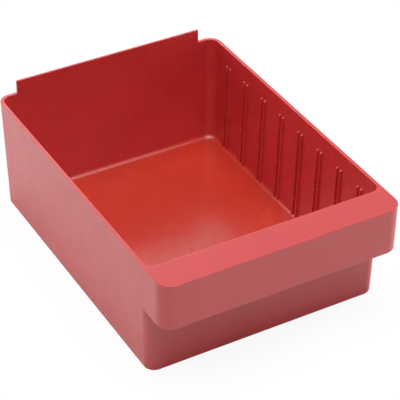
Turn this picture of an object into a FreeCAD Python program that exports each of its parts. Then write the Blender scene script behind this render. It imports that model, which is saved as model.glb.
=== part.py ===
import FreeCAD, Part
import math
import os
from FreeCAD import Vector

# Drawer bin for shelves: an open tray with a hollow hood across its front, moulded in one piece.
# X runs to the right as seen from the front, the hood faces -Y, and +Z is up.
# The origin is the middle of the overall length and width, on the surface that the bin stands on.
# All sizes are in millimetres.

# Overall size, on the common shelf-bin plan of 11-5/8 by 8-3/8 inches
overall_length = 295.3
overall_width = 212.7
rim_height = 103.0
tab_rise = 12.1

# Wall and floor
rim_thickness = 3.1
floor_thickness = 2.2
floor_fillet = 4.0
base_edge_round = 2.0

# Lean of each wall from the rim down to the base
side_lean = 2.3
rear_lean = 4.1
front_lean = 2.2

# Radii of the tray's upright corners, outside
rear_corner_at_rim = 11.2
rear_corner_at_base = 8.0
front_corner_at_rim = 10.5
front_corner_at_base = 9.3

# Radii of the same corners at the base, inside; at the rim the inside follows the outside
inner_rear_corner_at_base = 9.5
inner_front_corner_at_base = 9.0

# Hood: a level ledge with a skirt hanging from its edge, and a cheek at each end beside the tray
hood_reach = 25.5
ledge_thickness = 3.0
skirt_height = 41.6
skirt_thickness = 2.6
hood_lean = 0.5
hood_corner_at_rim = 13.0
hood_corner_at_hem = 12.4
cheek_front_y = -121.0
cheek_back_y = -111.5
cheek_end_round = 0.3

# Tab on the rear rim
tab_width = 175.6
tab_thickness = 2.4

# Divider ribs, in pairs down both side walls
slot_count = 8
slot_pitch = 29.7
front_slot_y = -92.1
rib_spacing = 5.4
rib_top_z = 87.9
rib_top_slope = 1.3
rib_width_top = 1.6
rib_width_foot = 2.0
rib_depth_top = 1.5
rib_depth_foot = 2.1

# Marks left by the mould on the floor
gate_mark = (0.0, 0.0)
gate_radius = 1.5
gate_depth = 0.4
ring_mark = (0.0, 28.0)
ring_radius = 7.5
ring_width = 0.8
ring_depth = 0.12

# Upright planes between the straight walls and the corners, and how far cutting blocks reach past the object
corner_split_x = 91.2
rear_split_y = 130.7
front_split_y = -107.6
margin = 20.0

half_length = overall_length / 2
half_width = overall_width / 2
tray_front_y = hood_reach - half_length
ledge_foot_z = rim_height - ledge_thickness
hem_z = rim_height - skirt_height
far_x = half_width + margin
far_y = half_length + margin


def lean_at(z):
    """Share of the full lean at height z: none at the rim, all of it at the base."""
    return 1.0 - z / rim_height


def outline(half_x, y_front, y_rear, r_front, r_rear, z):
    """Closed wire of a rectangle with rounded front and rear corners, level at height z."""
    corners = [
        (half_x - r_rear, y_rear - r_rear, r_rear, 0),
        (r_rear - half_x, y_rear - r_rear, r_rear, 90),
        (r_front - half_x, y_front + r_front, r_front, 180),
        (half_x - r_front, y_front + r_front, r_front, 270),
    ]
    arcs = []
    for x, y, r, start in corners:
        points = []
        for turn in (0, 45, 90):
            angle = math.radians(start + turn)
            points.append(Vector(x + r * math.cos(angle), y + r * math.sin(angle), z))
        arcs.append(points)
    edges = []
    for number, points in enumerate(arcs):
        edges.append(Part.Arc(*points).toShape())
        edges.append(Part.makeLine(points[2], arcs[(number + 1) % 4][0]))
    return Part.Wire(edges)


def tray_outline(z, inset, front_at_base, rear_at_base):
    """Outline of the tray at height z, moved inwards by inset, with its two corner radii at the base."""
    lean = lean_at(z)
    return outline(
        half_width - side_lean * lean - inset,
        tray_front_y + front_lean * lean + inset,
        half_length - rear_lean * lean - inset,
        (front_corner_at_rim - inset) * (1 - lean) + front_at_base * lean,
        (rear_corner_at_rim - inset) * (1 - lean) + rear_at_base * lean,
        z,
    )


def hood_outline(z, inset):
    """Outline of the hood at height z, moved inwards by inset; its rear edge runs into the tray."""
    share = (rim_height - z) / skirt_height
    return outline(
        half_width - hood_lean * share - inset,
        -half_length + hood_lean * share + inset,
        cheek_back_y,
        hood_corner_at_rim + (hood_corner_at_hem - hood_corner_at_rim) * share - inset,
        cheek_end_round,
        z,
    )


def prism(lower, upper):
    """Solid with straight sides between two level outlines."""
    return Part.makeLoft([lower, upper], True, True)


def rectangle(x0, x1, y0, y1, z):
    """Closed wire of a rectangle, level at height z."""
    corners = [Vector(x0, y0, z), Vector(x1, y0, z), Vector(x1, y1, z), Vector(x0, y1, z)]
    return Part.makePolygon(corners + corners[:1])


def block(x0, x1, y0, y1, z0, z1):
    """Rectangular block between two opposite corners."""
    return Part.makeBox(x1 - x0, y1 - y0, z1 - z0, Vector(x0, y0, z0))


def round_foot(solid, z, radius):
    """Round all the edges of a solid that lie at height z."""
    feet = [e for e in solid.Edges if abs(e.BoundBox.ZMin - z) < 1e-6 and abs(e.BoundBox.ZMax - z) < 1e-6]
    return solid.makeFillet(radius, feet)


def save(name, shape):
    """Check one member and write it to its own file."""
    solids = shape.Solids
    whole = solids[0] if len(solids) == 1 else Part.makeCompound(solids)
    if not solids or not whole.isValid():
        raise RuntimeError(name + " is not a valid solid")
    whole.exportStep(os.path.join("parts", name + ".step"))
    print(name, len(solids), round(whole.Volume / 1000, 2), "cm3")


os.makedirs("parts", exist_ok=True)

# Tray: outer block less the bin's inside
outside_shape = (0, front_corner_at_base, rear_corner_at_base)
tray_block = prism(tray_outline(0, *outside_shape), tray_outline(rim_height, *outside_shape))
tray_block = round_foot(tray_block, 0, base_edge_round)
inside_shape = (rim_thickness, inner_front_corner_at_base, inner_rear_corner_at_base)
inside = prism(tray_outline(floor_thickness, *inside_shape), tray_outline(rim_height + margin, *inside_shape))
inside = round_foot(inside, floor_thickness, floor_fillet)
tray = tray_block.cut(inside)

# Floor: the tray's lowest slice, with the mould's gate and ring marks in its upper face
floor = tray.common(block(-far_x, far_x, -far_y, far_y, 0, floor_thickness))
gate = Part.makeCylinder(gate_radius, gate_depth, Vector(*gate_mark, floor_thickness - gate_depth))
ring_foot = Vector(*ring_mark, floor_thickness - ring_depth)
ring = Part.makeCylinder(ring_radius, ring_depth, ring_foot)
ring = ring.cut(Part.makeCylinder(ring_radius - ring_width, ring_depth, ring_foot))
save("floor_panel", floor.cut(gate).cut(ring))

# Walls and corners: the rest of the tray, divided by upright planes; the inside fillet is their foot
tray_plans = {
    "left_wall": (-far_x, -corner_split_x, front_split_y, rear_split_y),
    "right_wall": (corner_split_x, far_x, front_split_y, rear_split_y),
    "rear_wall": (-corner_split_x, corner_split_x, rear_split_y, far_y),
    "front_wall": (-corner_split_x, corner_split_x, -far_y, front_split_y),
    "rear_left_corner": (-far_x, -corner_split_x, rear_split_y, far_y),
    "rear_right_corner": (corner_split_x, far_x, rear_split_y, far_y),
    "front_left_corner": (-far_x, -corner_split_x, -far_y, front_split_y),
    "front_right_corner": (corner_split_x, far_x, -far_y, front_split_y),
}
for name, plan in tray_plans.items():
    save(name, tray.common(block(*plan, floor_thickness, rim_height)))

# Rear tab: stands on the rear rim, and its front face carries on the slope of the rear wall's inner face
tab_front_y = half_length - rim_thickness
tab_back_y = tab_front_y + tab_thickness
tab_top_front_y = tab_front_y + rear_lean * tab_rise / rim_height
tab_foot = rectangle(-tab_width / 2, tab_width / 2, tab_front_y, tab_back_y, rim_height)
tab_top = rectangle(-tab_width / 2, tab_width / 2, tab_top_front_y, tab_back_y, rim_height + tab_rise)
save("rear_tab", prism(tab_foot, tab_top))

# Hood: a shell open from below, with the tray's block taken out of it
hood_block = prism(hood_outline(hem_z, 0), hood_outline(rim_height, 0))
grip = prism(hood_outline(hem_z, skirt_thickness), hood_outline(rim_height, skirt_thickness))
grip = grip.common(block(-far_x, far_x, -far_y, 0, 0, ledge_foot_z))
hood = hood_block.cut(grip).cut(tray_block)
hood_split_x = half_width - hood_corner_at_rim
hood_split_y = hood_corner_at_rim - half_length
hood_plans = {
    "hood_ledge": (-far_x, far_x, -far_y, cheek_front_y, ledge_foot_z, rim_height),
    "hood_front_skirt": (-hood_split_x, hood_split_x, -far_y, hood_split_y, 0, ledge_foot_z),
    "hood_left_corner": (-far_x, -hood_split_x, -far_y, cheek_front_y, 0, ledge_foot_z),
    "hood_right_corner": (hood_split_x, far_x, -far_y, cheek_front_y, 0, ledge_foot_z),
    "hood_left_cheek": (-far_x, 0, cheek_front_y, 0, 0, rim_height),
    "hood_right_cheek": (0, far_x, cheek_front_y, 0, 0, rim_height),
}
for name, plan in hood_plans.items():
    save(name, hood.common(block(*plan)))


def rib(y, side):
    """One divider rib on a side wall: a bar that tapers upwards, with a top that slopes down to its nose."""
    sections = []
    ends = ((floor_thickness, rib_width_foot, rib_depth_foot), (rib_top_z, rib_width_top, rib_depth_top))
    for z, width, depth in ends:
        wall_x = half_width - rim_thickness - side_lean * lean_at(z)
        nose_x = side * (wall_x - depth)
        root_x = side * (wall_x + rim_thickness / 2)
        sections.append(rectangle(root_x, nose_x, y - width / 2, y + width / 2, z))
    wall_x = half_width - rim_thickness - side_lean * lean_at(rib_top_z)
    slope_end_x = side * (wall_x - 2 * rib_depth_top)
    slope = [
        Vector(side * wall_x, y - rib_width_top, rib_top_z),
        Vector(slope_end_x, y - rib_width_top, rib_top_z - 2 * rib_top_slope),
        Vector(slope_end_x, y - rib_width_top, rib_top_z + margin),
        Vector(side * wall_x, y - rib_width_top, rib_top_z + margin),
    ]
    above_slope = Part.Face(Part.makePolygon(slope + slope[:1])).extrude(Vector(0, 2 * rib_width_top, 0))
    return prism(*sections).cut(above_slope).cut(tray)


# Divider ribs: a pair for each slot on each side wall, numbered from the front
for side_name, side in (("left", -1), ("right", 1)):
    for slot in range(slot_count):
        slot_y = front_slot_y + slot * slot_pitch
        pair = [rib(slot_y - rib_spacing / 2, side), rib(slot_y + rib_spacing / 2, side)]
        save("divider_ribs_%s_%d" % (side_name, slot + 1), Part.makeCompound(pair))
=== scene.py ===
import math

import bmesh
import bpy
import numpy as np
from mathutils import Matrix, Vector


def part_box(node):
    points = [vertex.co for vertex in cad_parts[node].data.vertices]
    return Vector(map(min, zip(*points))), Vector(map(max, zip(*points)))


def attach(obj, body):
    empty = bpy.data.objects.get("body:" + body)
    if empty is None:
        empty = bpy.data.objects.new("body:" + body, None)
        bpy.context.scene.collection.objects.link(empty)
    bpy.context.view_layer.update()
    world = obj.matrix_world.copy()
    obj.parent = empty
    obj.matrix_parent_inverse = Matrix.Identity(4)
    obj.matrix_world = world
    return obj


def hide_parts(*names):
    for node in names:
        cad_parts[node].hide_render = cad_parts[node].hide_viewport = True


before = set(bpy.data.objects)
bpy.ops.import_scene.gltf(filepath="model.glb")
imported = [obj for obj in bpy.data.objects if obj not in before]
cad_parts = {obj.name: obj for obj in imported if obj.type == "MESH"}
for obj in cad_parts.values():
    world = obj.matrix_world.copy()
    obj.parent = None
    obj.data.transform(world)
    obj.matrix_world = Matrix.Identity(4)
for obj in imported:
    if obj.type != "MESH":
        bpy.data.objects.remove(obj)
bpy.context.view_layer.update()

# Floor panel: the bottom of the bin, of high-impact polystyrene with red pigment right through it. The melt
# enters at a gate in its middle, and the sleeve of an ejector pin leaves a fine ring behind the gate.
MM = 0.001
floor_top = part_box("floor_panel")[1].z / MM
panel_half_x = 92.0
panel_front_y = -106.0
panel_rear_y = 133.0
# A row of points this far beside each rounding keeps the flat faces next to it shaded flat
support = 0.6
gate_y = 0.0
gate_half = 6.0
gate_steps = 12
gate_radii = (0.0, 0.4, 0.55, 0.65, 0.95, 1.25, 1.42, 1.5, 1.6, 2.4)
gate_depths = (0.12, 0.13, 0.22, 0.38, 0.39, 0.30, 0.12, 0.02, 0.0, 0.0)
ring_y = 28.0
ring_half = 12.0
ring_steps = 24
ring_radius = 7.5
ring_width = 0.8
ring_depth = 0.07


def srgb(code):
    """Linear colour of an sRGB hex code."""
    parts = [int(code[i:i + 2], 16) / 255 for i in (1, 3, 5)]
    return [p / 12.92 if p <= 0.04045 else ((p + 0.055) / 1.055) ** 2.4 for p in parts] + [1.0]


def add(tree, kind, links=None, values=None, **settings):
    """Add a node to a tree: what its inputs are linked to, its inputs' values, and its own settings."""
    node = tree.nodes.new(kind)
    for name, setting in settings.items():
        setattr(node, name, setting)
    for name, value in (values or {}).items():
        node.inputs[name].default_value = value
    for name, output in (links or {}).items():
        tree.links.new(output, node.inputs[name])
    return node


def polystyrene(name, wall_shades, painted_floor_shades, roughness, grain_depth_mm):
    """Moulded polystyrene: faint pigment clouds, an uneven sheen, the mould's grain and a slow wave.

    A pair of shades runs from dark to light. The floor's pair, painted light and shade, takes over down the
    fillet.
    """
    material = bpy.data.materials.new(name)
    material.use_nodes = True
    tree = material.node_tree
    tree.nodes.clear()
    place = add(tree, "ShaderNodeTexCoord").outputs["Object"]
    # The pigment is a little denser in clouds about 50 mm across
    spread = {"Scale": 1 / 0.05, "Detail": 3.0, "Distortion": 0.8}
    cloud = add(tree, "ShaderNodeTexNoise", {"Vector": place}, spread)
    shades = []
    for pair in (wall_shades, painted_floor_shades):
        ramp = add(tree, "ShaderNodeValToRGB", {"Fac": cloud.outputs["Fac"]})
        for stop, position, code in zip(ramp.color_ramp.elements, (0.3, 0.7), pair):
            stop.position = position
            stop.color = srgb(code)
        shades.append(ramp.outputs["Color"])
    # The floor is the thinnest wall: light goes through it and comes back more orange. That light is painted
    # in:
    # the floor's shades are more orange than the walls', and a little darker to offset the stronger light
    # from above
    height = add(tree, "ShaderNodeSeparateXYZ", {"Vector": place}).outputs["Z"]
    spread = {"From Min": floor_top * MM, "From Max": 2.5 * floor_top * MM, "To Min": 1.0, "To Max": 0.0}
    low = add(tree, "ShaderNodeMapRange", {"Value": height}, spread)
    links = {"Fac": low.outputs["Result"], "Color1": shades[0], "Color2": shades[1]}
    colour = add(tree, "ShaderNodeMixRGB", links)
    # Handling leaves the sheen uneven, in patches about 15 mm across
    patch = add(tree, "ShaderNodeTexNoise", {"Vector": place}, {"Scale": 1 / 0.015, "Detail": 4.0})
    spread = {"From Min": 0.3, "From Max": 0.7, "To Min": roughness - 0.03, "To Max": roughness + 0.03}
    sheen = add(tree, "ShaderNodeMapRange", {"Value": patch.outputs["Fac"]}, spread)
    # The grain that the mould's steel prints, drawn at 0.4 mm instead of the real 0.05 mm so that it shows
    grain = add(tree, "ShaderNodeTexNoise", {"Vector": place}, {"Scale": 1 / 0.0004, "Detail": 2.0})
    fine = add(tree, "ShaderNodeBump", {"Height": grain.outputs["Fac"]}, {"Distance": grain_depth_mm * MM})
    # Cooling leaves thin walls with a slow wave, about 60 mm long and a few hundredths of a millimetre deep
    wave = add(tree, "ShaderNodeTexNoise", {"Vector": place}, {"Scale": 1 / 0.06, "Detail": 0.0})
    links = {"Height": wave.outputs["Fac"], "Normal": fine.outputs["Normal"]}
    slow = add(tree, "ShaderNodeBump", links, {"Distance": 0.15 * MM})
    links = {
        "Base Color": colour.outputs["Color"],
        "Roughness": sheen.outputs["Result"],
        "Normal": slow.outputs["Normal"],
    }
    surface = add(tree, "ShaderNodeBsdfPrincipled", links, {"IOR": 1.59, "Specular IOR Level": 0.6})
    add(tree, "ShaderNodeOutputMaterial", {"Surface": surface.outputs["BSDF"]})
    return material


# The inside is moulded on a polished core, which leaves it glossy, and the outside in a blasted cavity, which
# leaves it a satin. The outside's shades are painted shade: darker and a purer red than the inside's, to
# offset the light and the white gloss that the outside catches.
wall_shades = ("#bb3132", "#c03435")
# Painted light and shade on the floor: more orange than the walls' pair, and a little darker
painted_floor_shades = ("#b22f21", "#b73324")
painted_outer_shades = ("#ab2325", "#b12527")
core_finish_and_painted_floor = polystyrene("polystyrene_polished_core_side_painted_floor", wall_shades, painted_floor_shades, 0.26, 0.0012)
cavity_finish_and_painted_shade = polystyrene("polystyrene_blasted_cavity_side_painted_shade", painted_outer_shades, painted_outer_shades, 0.34, 0.003)


def quarter(steps):
    """Sine and cosine along a quarter turn, from 0 to 90 degrees."""
    angle = np.linspace(0, math.pi / 2, steps + 1)
    return np.sin(angle), np.cos(angle)


def quads(numbers):
    """Faces of a grid of point numbers: each point with the next along, the one beyond and the one across."""
    corners = numbers[:-1, :-1], numbers[1:, :-1], numbers[1:, 1:], numbers[:-1, 1:]
    return np.stack(corners, axis=-1).reshape(-1, 4)


def wrapped(rows, rounds=(0, 0)):
    """Points and faces of a grid of points; a 1 in rounds joins its last row or column to its first."""
    numbers = np.arange(rows.shape[0] * rows.shape[1]).reshape(rows.shape[:2])
    return rows.reshape(-1, 3), quads(np.pad(numbers, [(0, join) for join in rounds], mode="wrap"))


def joined(*parts):
    """Points and faces of several parts as one list of each."""
    starts = np.cumsum([0] + [len(points) for points, _ in parts])
    faces = [part + start for start, (_, part) in zip(starts, parts)]
    return np.concatenate([points for points, _ in parts]), np.concatenate(faces)


def moulded(name, part, *finishes, second=0):
    """Object from points in millimetres and faces: welded, open ends closed and faces turned outwards.

    Edges sharper than 30 degrees stay sharp. Faces for which second is 1 take the second finish.
    """
    points, faces = part
    mesh = bpy.data.meshes.new(name)
    mesh.from_pydata(points * MM, [], faces.tolist())
    mesh.polygons.foreach_set("material_index", np.broadcast_to(second, len(faces)).astype(np.int32))
    shell = bmesh.new()
    shell.from_mesh(mesh)
    bmesh.ops.remove_doubles(shell, verts=shell.verts, dist=1e-7)
    bmesh.ops.holes_fill(shell, edges=shell.edges)
    bmesh.ops.recalc_face_normals(shell, faces=shell.faces)
    shell.to_mesh(mesh)
    shell.free()
    mesh.shade_smooth()
    mesh.set_sharp_from_angle(angle=math.radians(30))
    for finish in finishes:
        mesh.materials.append(finish)
    piece = bpy.data.objects.new(name, mesh)
    bpy.context.scene.collection.objects.link(piece)
    return piece


def turned_mark(centre_y, half_square, steps, radii, depths):
    """Mark turned about an upright axis and let into a square of the panel's top.

    A point is the centre plus a radius times the direction of one point of the square's border. Its height is
    the panel's top less the depth at that radius. The last row is the border itself.
    """
    side = np.linspace(-half_square, half_square, steps + 1)[:-1]
    edge = np.full(steps, half_square)
    border = np.hstack([[side, -edge], [edge, side], [-side, edge], [-edge, -side]]).T
    direction = border / np.linalg.norm(border, axis=1)[:, None]
    rows = np.concatenate([np.multiply.outer(radii, direction), border[None]])
    heights = floor_top - np.append(depths, 0.0)[:, None]
    x, y = rows[..., 0], rows[..., 1] + centre_y
    return wrapped(np.stack([x, y, np.broadcast_to(heights, x.shape)], axis=-1), (0, 1))


# The panel's top is a grid of squares, 1 mm wide round the two marks, and each mark fills a square hole in it
coarse_x = np.linspace(-panel_half_x, panel_half_x, 17)
panel_x = np.union1d(coarse_x[abs(coarse_x) > ring_half], np.linspace(-ring_half, ring_half, ring_steps + 1))
gate_lines = np.linspace(gate_y - gate_half, gate_y + gate_half, gate_steps + 1)
ring_lines = np.linspace(ring_y - ring_half, ring_y + ring_half, ring_steps + 1)
coarse_y = np.linspace(panel_front_y, panel_rear_y, 21)
clear = (coarse_y < gate_lines[0]) | (coarse_y > ring_lines[-1])
panel_y = np.concatenate([coarse_y[clear], gate_lines, ring_lines])
panel_y.sort()
panel = np.stack(np.meshgrid(panel_x, panel_y, floor_top), axis=-1)[:, :, 0]
points, faces = wrapped(panel)
x, y = points[faces].mean(axis=1)[:, :2].T
in_gate = (abs(x) < gate_half) & (abs(y - gate_y) < gate_half)
in_ring = (abs(x) < ring_half) & (abs(y - ring_y) < ring_half)
border = np.concatenate([panel[0, :-1], panel[:-1, -1], panel[-1, :0:-1], panel[:0:-1, 0]])
across = np.linspace(0, 1, 9)
groove_radii = ring_radius - ring_width * (1 - across)
ring_radii = np.concatenate([[0, 3.0, 6.3], groove_radii, [8.0]])
ring_depths = np.concatenate([[0, 0, 0], ring_depth * np.sin(math.pi * across), [0]])
points, faces = joined(
    (points, faces[~in_gate & ~in_ring]),
    (points * (1, 1, 0), faces),
    wrapped(np.stack([border, border * (1, 1, 0)]), (0, 1)),
    turned_mark(gate_y, gate_half, gate_steps, gate_radii, gate_depths),
    turned_mark(ring_y, ring_half, ring_steps, ring_radii, ring_depths),
)
underside = points[faces][:, :, 2].max(axis=1) == 0
floor_skin = moulded("floor_skin", (points, faces), core_finish_and_painted_floor, cavity_finish_and_painted_shade, second=underside)
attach(floor_skin, "root")
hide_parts("floor_panel")

# Tray: four leaning walls and four rounded corners, filled by the melt as one skin that runs on from the
# floor. A fillet carries each wall into the floor, and the rim and the underside have the mould's roundings.
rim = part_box("right_wall")[1].z / MM
half_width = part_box("right_wall")[1].x / MM
half_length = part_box("rear_wall")[1].y / MM
front_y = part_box("front_wall")[0].y / MM
hood_half_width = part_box("hood_ledge")[1].x / MM
cheek_end_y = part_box("hood_right_cheek")[1].y / MM
tab_half_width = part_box("rear_tab")[1].x / MM
wall = 3.1
side_lean = 2.3
rear_lean = 4.1
front_lean = 2.2
front_corner_at_rim = 10.5
rear_corner_at_rim = 11.2
outer_corners_at_base = (9.3, 8.0)
inner_corners_at_base = (9.0 + wall, 9.5 + wall)
floor_fillet = 4.0
base_round = 2.0
inner_rim_round = 0.2
outer_rim_round = 0.4
skirt = 2.6
cheek_end_round = 0.3


def stretch(count, start, end):
    """Stations from start up to, but not at, end. A station is a share of the front's or rear's half width, a
    share of the side's length, and the turn of the corner's radius from the X axis in degrees."""
    return np.linspace(start, end, count, endpoint=False)


# Stations go from the middle of the front round the right side to the middle of the rear. They stand closer
# beside the hood: at its corner, up to the end of its hollow, along its cheek and at the cheek's rounded end.
corner_x = half_width - front_corner_at_rim
corner_y = front_y + front_corner_at_rim
hood_corner_turn = -62.0
hollow_end_turn = -math.degrees(math.acos((hood_half_width - skirt - corner_x) / front_corner_at_rim))
cheek_round_turn = math.degrees(math.asin((cheek_end_y - cheek_end_round - corner_y) / front_corner_at_rim))
cheek_end_turn = math.degrees(math.asin((cheek_end_y - corner_y) / front_corner_at_rim))
tab_share = tab_half_width / (half_width - rear_corner_at_rim)
hood_stations = np.vstack([
    stretch(8, (0, 0, -90), (0.993, 0, -90)),
    stretch(1, (0.993, 0, -90), (1, 0, -90)),
    stretch(18, (1, 0, -90), (1, 0, hood_corner_turn)),
    stretch(6, (1, 0, hood_corner_turn), (1, 0, hollow_end_turn)),
    stretch(12, (1, 0, hollow_end_turn), (1, 0, cheek_round_turn)),
    stretch(4, (1, 0, cheek_round_turn), (1, 0, cheek_end_turn)),
    [(1, 0, cheek_end_turn)],
])
tab_stations = np.vstack([stretch(10, (tab_share, 1, 90), (0, 1, 90)), [(0, 1, 90)]])
stations = np.vstack([
    hood_stations,
    stretch(22, (1, 0.003, 0), (1, 0.997, 0)),
    [(1, 0.997, 0)],
    stretch(16, (1, 1, 0), (1, 1, 90)),
    [(1, 1, 90), (0.993, 1, 90), (tab_share, 1, 90)],
    tab_stations,
])
number = np.arange(len(stations))
beside_hood = number < len(hood_stations)
under_tab = number >= len(stations) - len(tab_stations)


def tray_ring(stations, z, inset, corners_at_base=outer_corners_at_base):
    """Right half of the tray's outline at height z, moved inwards by inset.

    The walls lean in evenly from the rim to the base, and the corners' radii change evenly too, less the
    inset. A point is the corner circle's centre, slid along the front, side or rear by the station's shares,
    plus the circle's radius at the station's turn.
    """
    across, along, turn = stations.T
    lean = 1 - z / rim
    half_x = half_width - side_lean * lean - inset
    front_at_base, rear_at_base = corners_at_base
    front_radius = front_corner_at_rim + (front_at_base - front_corner_at_rim) * lean - inset
    rear_radius = rear_corner_at_rim + (rear_at_base - rear_corner_at_rim) * lean - inset
    front_centre = front_y + front_lean * lean + inset + front_radius
    rear_centre = half_length - rear_lean * lean - inset - rear_radius
    radius = front_radius + along * (rear_radius - front_radius)
    x = across * (half_x - radius) + radius * np.cos(np.radians(turn))
    y = front_centre + along * (rear_centre - front_centre) + radius * np.sin(np.radians(turn))
    return np.stack([x, y, np.broadcast_to(z, x.shape)], axis=-1)


def inner_ring(z, inset):
    """Right half of an outline of the tray's inside, whose corners don't narrow towards the floor."""
    return tray_ring(stations, z, inset, inner_corners_at_base)


def panel_ring(z):
    """The floor panel's border at height z: a rectangle with each whole corner at one point."""
    across, along, _ = stations.T
    y = panel_front_y + along * (panel_rear_y - panel_front_y)
    return np.stack([across * panel_half_x, y, np.full(len(y), z)], axis=-1)


def rim_drop(from_edge):
    """How far the rim's outer rounding has dropped at a distance from its outermost edge: a circle's arc."""
    near = np.clip(outer_rim_round - from_edge, 0, outer_rim_round)
    return outer_rim_round - np.sqrt(outer_rim_round ** 2 - near ** 2)


# Past the tray's own edge the hood's ledge or cheek carries the top on by this much at each station
beside_front = beside_hood & (stations[:, 2] < hollow_end_turn)
cheek_width = hood_half_width - tray_ring(stations, rim, 0)[:, 0]
ledge_width = np.where(beside_front, half_width, np.where(beside_hood, cheek_width, 0))
inner_round = np.where(under_tab, 0, inner_rim_round)
sine, cosine = quarter(8)
levels = np.linspace(floor_top + floor_fillet + support, rim - inner_rim_round - support, 12)
outer_levels = np.linspace(rim - outer_rim_round - support, base_round + support, 14)

rows = [panel_ring(floor_top), inner_ring(floor_top, wall + floor_fillet + support)]
rows += [
    inner_ring(floor_top + floor_fillet * (1 - c), wall + floor_fillet * (1 - s))
    for s, c in zip(sine, cosine)
]
rows += [inner_ring(z, wall) for z in levels]
rows += [
    inner_ring(rim - inner_round * (1 - s), wall - inner_round * (1 - c))
    for s, c in zip(sine[::2], cosine[::2])
]
inside_rows = len(rows)
rows += [inner_ring(rim, wall - inner_rim_round - support)]
rows += [
    tray_ring(stations, rim - rim_drop(support + outer_rim_round + ledge_width), outer_rim_round + support),
]
rows += [
    tray_ring(stations, rim - rim_drop(outer_rim_round * (1 - s) + ledge_width), outer_rim_round * (1 - s))
    for s in sine
]
rows += [tray_ring(stations, z, 0) for z in outer_levels]
rows += [
    tray_ring(stations, base_round * (1 - s), base_round * (1 - c))
    for s, c in zip(sine, cosine)
]
rows += [tray_ring(stations, 0, base_round + support), panel_ring(0)]


def mirrored(rows):
    """Rows of points from the middle plane round the right half, reflected to go on round the left half."""
    return np.concatenate([rows, rows[:, -2:0:-1] * (-1, 1, 1)], axis=1)


whole = mirrored(np.stack(rows))
outside = np.repeat(np.arange(len(rows)) >= inside_rows, whole.shape[1])
tray_skin = moulded("tray_skin", wrapped(whole, (1, 1)), core_finish_and_painted_floor, cavity_finish_and_painted_shade, second=outside)
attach(tray_skin, "root")
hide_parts("left_wall", "right_wall", "rear_wall", "front_wall")
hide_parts("rear_left_corner", "rear_right_corner", "front_left_corner", "front_right_corner")

# Hood: the ledge that carries the rim's level forwards, with a skirt hung from its edge and a cheek at each
# end that dies into the tray's side. It is hollow and open from below, so that fingers can pull on the skirt.
ledge_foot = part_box("hood_ledge")[0].z / MM
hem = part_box("hood_front_skirt")[0].z / MM
skirt_height = rim - hem
hood_lean = 0.5
hood_corner_at_rim = 13.0
hood_corner_at_hem = 12.4
hem_outer_round = 1.0
hem_inner_round = 0.5
roof_round = 1.0
cheek_end_share = 0.3


def hood_ring(z, inset):
    """Right half of the hood's outline at height z, moved inwards by inset, at the tray's own stations.

    Along the front a station keeps its share of the width. The next stations go round the hood's corner, then
    straight along its side, and from the end of the hollow they stand level with the tray's own points. There
    the outline never goes further in than the tray's face, and it rounds off to that face at the cheek's end.
    """
    across, _, turn = hood_stations.T
    share = (rim - z) / skirt_height
    half_x = hood_half_width - hood_lean * share - inset
    radius = hood_corner_at_rim + (hood_corner_at_hem - hood_corner_at_rim) * share - inset
    centre_y = hood_lean * share + inset + radius - half_length
    angle = math.pi / 2 * (np.clip((turn + 90) / (hood_corner_turn + 90), 0, 1) - 1)
    x = across * (half_x - radius) + radius * np.cos(angle)
    y = centre_y + radius * np.sin(angle)
    tray = tray_ring(hood_stations, z, 0)
    beside = np.clip((turn - hood_corner_turn) / (hollow_end_turn - hood_corner_turn), 0, 1)
    y = y + beside * (tray[:, 1] - y)
    proud = np.maximum(x - tray[:, 0], 0)
    rounding = np.clip((turn - cheek_round_turn) / (cheek_end_turn - cheek_round_turn), 0, 1)
    proud = proud * (1 - (1 - cheek_end_share) * (1 - np.sqrt(1 - rounding ** 2)))
    x = np.where(turn < hollow_end_turn, x, tray[:, 0] + proud)
    return np.stack([x, y, np.broadcast_to(z, x.shape)], axis=-1)


hood_width = ledge_width[beside_hood]
seam = tray_ring(hood_stations, rim - rim_drop(hood_width), 0)


def ledge_ring(inset):
    """Outline on the ledge's top and rounded edge; the seam itself where the ledge is narrower than inset."""
    ring = hood_ring(rim - rim_drop(inset), inset)
    return np.where((hood_width > inset)[:, None], ring, seam)


hollow = np.linalg.norm(hood_ring(ledge_foot, skirt) - tray_ring(hood_stations, ledge_foot, 0), axis=1)
roof_fillet = np.minimum(roof_round, 0.4 * hollow)
skirt_levels = np.linspace(rim - outer_rim_round - support, hem + hem_outer_round + support, 9)
inner_levels = np.linspace(hem + hem_inner_round + support, ledge_foot - roof_round - support, 8)
rows = [seam, ledge_ring(outer_rim_round + support)]
rows += [ledge_ring(outer_rim_round * (1 - s)) for s in sine]
rows += [hood_ring(z, 0) for z in skirt_levels]
rows += [hood_ring(hem + hem_outer_round * (1 - s), hem_outer_round * (1 - c)) for s, c in zip(sine, cosine)]
rows += [
    hood_ring(hem + hem_inner_round * (1 - c), skirt - hem_inner_round * (1 - s))
    for s, c in zip(sine[::2], cosine[::2])
]
rows += [hood_ring(z, skirt) for z in inner_levels]
rows += [
    hood_ring(ledge_foot - roof_fillet * (1 - s), skirt + roof_fillet * (1 - c))
    for s, c in zip(sine[::2], cosine[::2])
]
rows += [
    tray_ring(hood_stations, ledge_foot - roof_fillet * (1 - c), -roof_fillet * (1 - s))
    for s, c in zip(sine[::2], cosine[::2])
]
right = np.stack(rows)
whole = np.concatenate([right[:, :0:-1] * (-1, 1, 1), right], axis=1)
hood_skin = moulded("hood_skin", wrapped(whole, (1, 0)), cavity_finish_and_painted_shade)
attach(hood_skin, "root")
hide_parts("hood_ledge", "hood_front_skirt", "hood_left_corner", "hood_right_corner")
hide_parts("hood_left_cheek", "hood_right_cheek")

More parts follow.
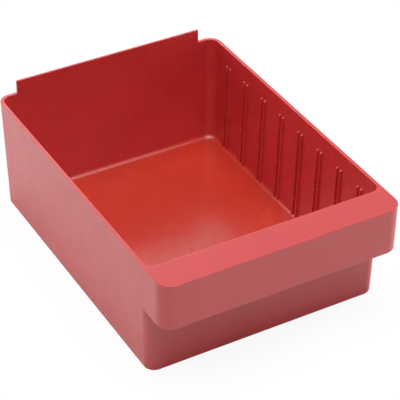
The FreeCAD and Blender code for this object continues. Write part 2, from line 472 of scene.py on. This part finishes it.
# Rear tab: a low wide strip that stands on the rear rim, where the rear wall's inner face runs on upwards. It
# meets the front of the shelf above and keeps the drawer from being pulled right out.
tab_low, tab_high = [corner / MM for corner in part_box("rear_tab")]
tab_round = 0.3
tab_foot_y = half_length - wall
tab_slope = rear_lean / rim
tab_top_y = tab_foot_y + tab_slope * (tab_high.z - rim)
low_z = rim
arc_z = tab_high.z - tab_round
sine, cosine = quarter(4)


def tab_section(inset):
    """Front, top and back of the tab in the YZ plane: two arcs about fixed centres, whose radius the inset
    takes from, and straight lines down to the rim with a point near each arc."""
    radius = tab_round - inset
    front_low, front_high = tab_foot_y + tab_round, tab_top_y + tab_round
    back = tab_high.y - tab_round
    near = (arc_z - support - low_z) / (arc_z - low_z)
    y = np.concatenate([
        [front_low - radius, front_low + near * (front_high - front_low) - radius],
        front_high - radius * cosine,
        [front_high + support, back - support],
        back + radius * sine,
        [back + radius, back + radius],
    ])
    z = np.concatenate([
        [low_z, arc_z - support],
        arc_z + radius * sine,
        [arc_z + radius, arc_z + radius],
        arc_z + radius * cosine,
        [arc_z - support, low_z],
    ])
    return np.stack([y, z], axis=-1)


end_x = tab_high.x - tab_round * (1 - sine)
end_inset = tab_round * (1 - cosine)
half_x = np.concatenate([[0, 20, 40, 60, 80, end_x[0] - support], end_x])
insets = np.concatenate([np.zeros(6), end_inset])
right = np.stack([
    np.insert(tab_section(inset), 0, x, axis=1)
    for x, inset in zip(half_x, insets)
], axis=1)
whole = np.concatenate([right[:, :0:-1] * (-1, 1, 1), right], axis=1)
tab_back = np.repeat(np.arange(len(whole)) >= 2 + len(sine), whole.shape[1] - 1)
tab_skin = moulded("rear_tab_skin", wrapped(whole, (1, 0)), core_finish_and_painted_floor, cavity_finish_and_painted_shade, second=tab_back)
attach(tab_skin, "root")
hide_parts("rear_tab")

# Divider ribs: pairs of thin upright bars on the side walls, moulded with them. The gap in a pair takes the
# edge of a cross divider. A rib tapers upwards to leave the mould, and its top slopes to a rounded nose.
rib_spacing = 5.4
rib_half_foot = 1.0
rib_half_top = 0.8
rib_depth_foot = 2.1
rib_depth_top = 1.5
rib_top_slope = 0.7 / 1.5
rib_nose = 0.45
rib_root = 0.5
rib_top_round = 0.3
rib_bury = 0.8


def rib(y, side, top_z):
    """One rib. Its plan is a bar that flares at the wall and rounds off at its nose.

    The plan shrinks evenly up to the sloped top, then draws in along a quarter circle. Its own axes are u,
    out of the wall, and v, along the wall.
    """
    sine, cosine = quarter(4)
    share = np.append(np.linspace(0, 1, 9), np.ones(4))[:, None]
    inset = np.append(np.zeros(8), rib_top_round * (1 - cosine))[:, None]
    below = np.append(np.full(8, rib_top_round), rib_top_round * (1 - sine))[:, None]
    half = rib_half_foot + (rib_half_top - rib_half_foot) * share - inset
    depth = rib_depth_foot + (rib_depth_top - rib_depth_foot) * share - inset
    nose = rib_nose - inset
    root_u = rib_root * (1 - cosine) + 0 * half
    root_v = half + rib_root * (1 - sine)
    u = np.hstack([0 * half - rib_bury, root_u, depth - nose + nose * sine])
    v = np.hstack([half + rib_root, root_v, half - nose + nose * cosine])
    u, v = np.hstack([u, u[:, ::-1]]), np.hstack([v, -v[:, ::-1]])
    z = floor_top + share * (top_z - rib_top_slope * u - below - floor_top)
    z = np.where(share < 1, z, top_z - rib_top_slope * u - below)
    x = half_width - wall - side_lean * (1 - z / rim) - u
    return wrapped(np.stack([side * x, y + v, z], axis=-1), (0, 1))


for side_name, side in (("left", -1), ("right", 1)):
    for slot in range(1, 9):
        node = f"divider_ribs_{side_name}_{slot}"
        low, high = [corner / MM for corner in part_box(node)]
        slot_y = (low.y + high.y) / 2
        pair = [rib(slot_y + step * rib_spacing / 2, side, high.z) for step in (-1, 1)]
        ribs = moulded(f"rib_pair_{side_name}_{slot}", joined(*pair), core_finish_and_painted_floor)
        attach(ribs, "root")
        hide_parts(node)

# Studio floor: a plain matt white board. The camera sees nine tenths of its colour as plain white, and the
# lamps' light on the rest gives the bin its soft shadow.
board_half = 6.0
board_glow = 0.9
board_mesh = bpy.data.meshes.new("studio_floor")
board = board_half * np.array([(-1, -1, 0), (1, -1, 0), (1, 1, 0), (-1, 1, 0)]) - (0, 0, 0.0001)
board_mesh.from_pydata(board, [], [(0, 1, 2, 3)])
studio_floor = bpy.data.objects.new("studio_floor", board_mesh)
bpy.context.scene.collection.objects.link(studio_floor)


def seen_by(tree, kinds, share):
    """A share for rays of the kinds named, and 0 for the rest."""
    path = add(tree, "ShaderNodeLightPath").outputs
    seen = path[kinds[0]]
    for kind in kinds[1:]:
        seen = add(tree, "ShaderNodeMath", {0: seen, 1: path[kind]}, operation="MAXIMUM").outputs["Value"]
    return add(tree, "ShaderNodeMath", {0: seen}, {1: share}, operation="MULTIPLY").outputs["Value"]


paint = bpy.data.materials.new("matt_white_board_paint")
paint.use_nodes = True
tree = paint.node_tree
tree.nodes.clear()
matt = add(tree, "ShaderNodeBsdfDiffuse", values={"Color": srgb("#f2f2f2")})
white = add(tree, "ShaderNodeEmission", values={"Color": (1, 1, 1, 1), "Strength": 1.0})
share = seen_by(tree, ("Is Camera Ray", "Is Transmission Ray"), board_glow)
links = {"Fac": share, 1: matt.outputs["BSDF"], 2: white.outputs["Emission"]}
mixed = add(tree, "ShaderNodeMixShader", links)
add(tree, "ShaderNodeOutputMaterial", {"Surface": mixed.outputs["Shader"]})
board_mesh.materials.append(paint)

# Studio light: the room is white where the camera sees it and where the plastic's gloss shows it. The light
# on the bin comes from soft boxes above it and round it, the strongest of them overhead.
world = bpy.data.worlds.new("white_room")
world.use_nodes = True
bpy.context.scene.world = world
tree = world.node_tree
tree.nodes.clear()
strength = seen_by(tree, ("Is Camera Ray", "Is Transmission Ray", "Is Glossy Ray"), 1.0)
white = add(tree, "ShaderNodeBackground", {"Strength": strength}, {"Color": (1, 1, 1, 1)})
add(tree, "ShaderNodeOutputWorld", {"Surface": white.outputs["Background"]})


def soft_box(name, place, size, watts):
    """Square area lamp that faces the middle of the bin."""
    lamp = bpy.data.lights.new(name, "AREA")
    lamp.shape = "SQUARE"
    lamp.size = size
    lamp.energy = watts
    box = bpy.data.objects.new(name, lamp)
    box.location = place
    box.rotation_euler = (Vector((0, 0, 0.05)) - Vector(place)).to_track_quat("-Z", "Y").to_euler()
    bpy.context.scene.collection.objects.link(box)


soft_box("overhead_soft_box", (0.0, 0.0, 2.6), 1.6, 39.0)
soft_box("upper_front_soft_box", (0.0, -1.2, 2.0), 1.3, 21.8)
soft_box("upper_left_soft_box", (-1.2, 0.0, 2.0), 1.3, 12.4)
soft_box("right_soft_box", (1.5, 0.0, 0.5), 1.4, 25.6)
soft_box("left_rear_soft_box", (-1.1, 1.1, 0.5), 1.4, 13.5)
soft_box("rear_soft_box", (0.0, 1.5, 0.45), 1.6, 10.3)

# Camera: a long lens at the photograph's distance, direction and slight tilt
azimuth = math.radians(-29.703)
elevation = math.radians(36.039)
tilt = math.radians(0.431)
view = Matrix.Rotation(azimuth, 3, "Z") @ Matrix.Rotation(math.pi / 2 - elevation, 3, "X")
camera = bpy.data.objects.new("camera", bpy.data.cameras.new("camera"))
camera.data.sensor_width = 36
camera.data.lens = 155.89
camera.data.clip_end = 100
camera.location = Vector((-566.38, -1007.26, 893.70)) * MM
camera.rotation_euler = (view @ Matrix.Rotation(tilt, 3, "Z")).to_euler()
bpy.context.scene.collection.objects.link(camera)
bpy.context.scene.camera = camera
bpy.context.scene.view_settings.view_transform = "Standard"
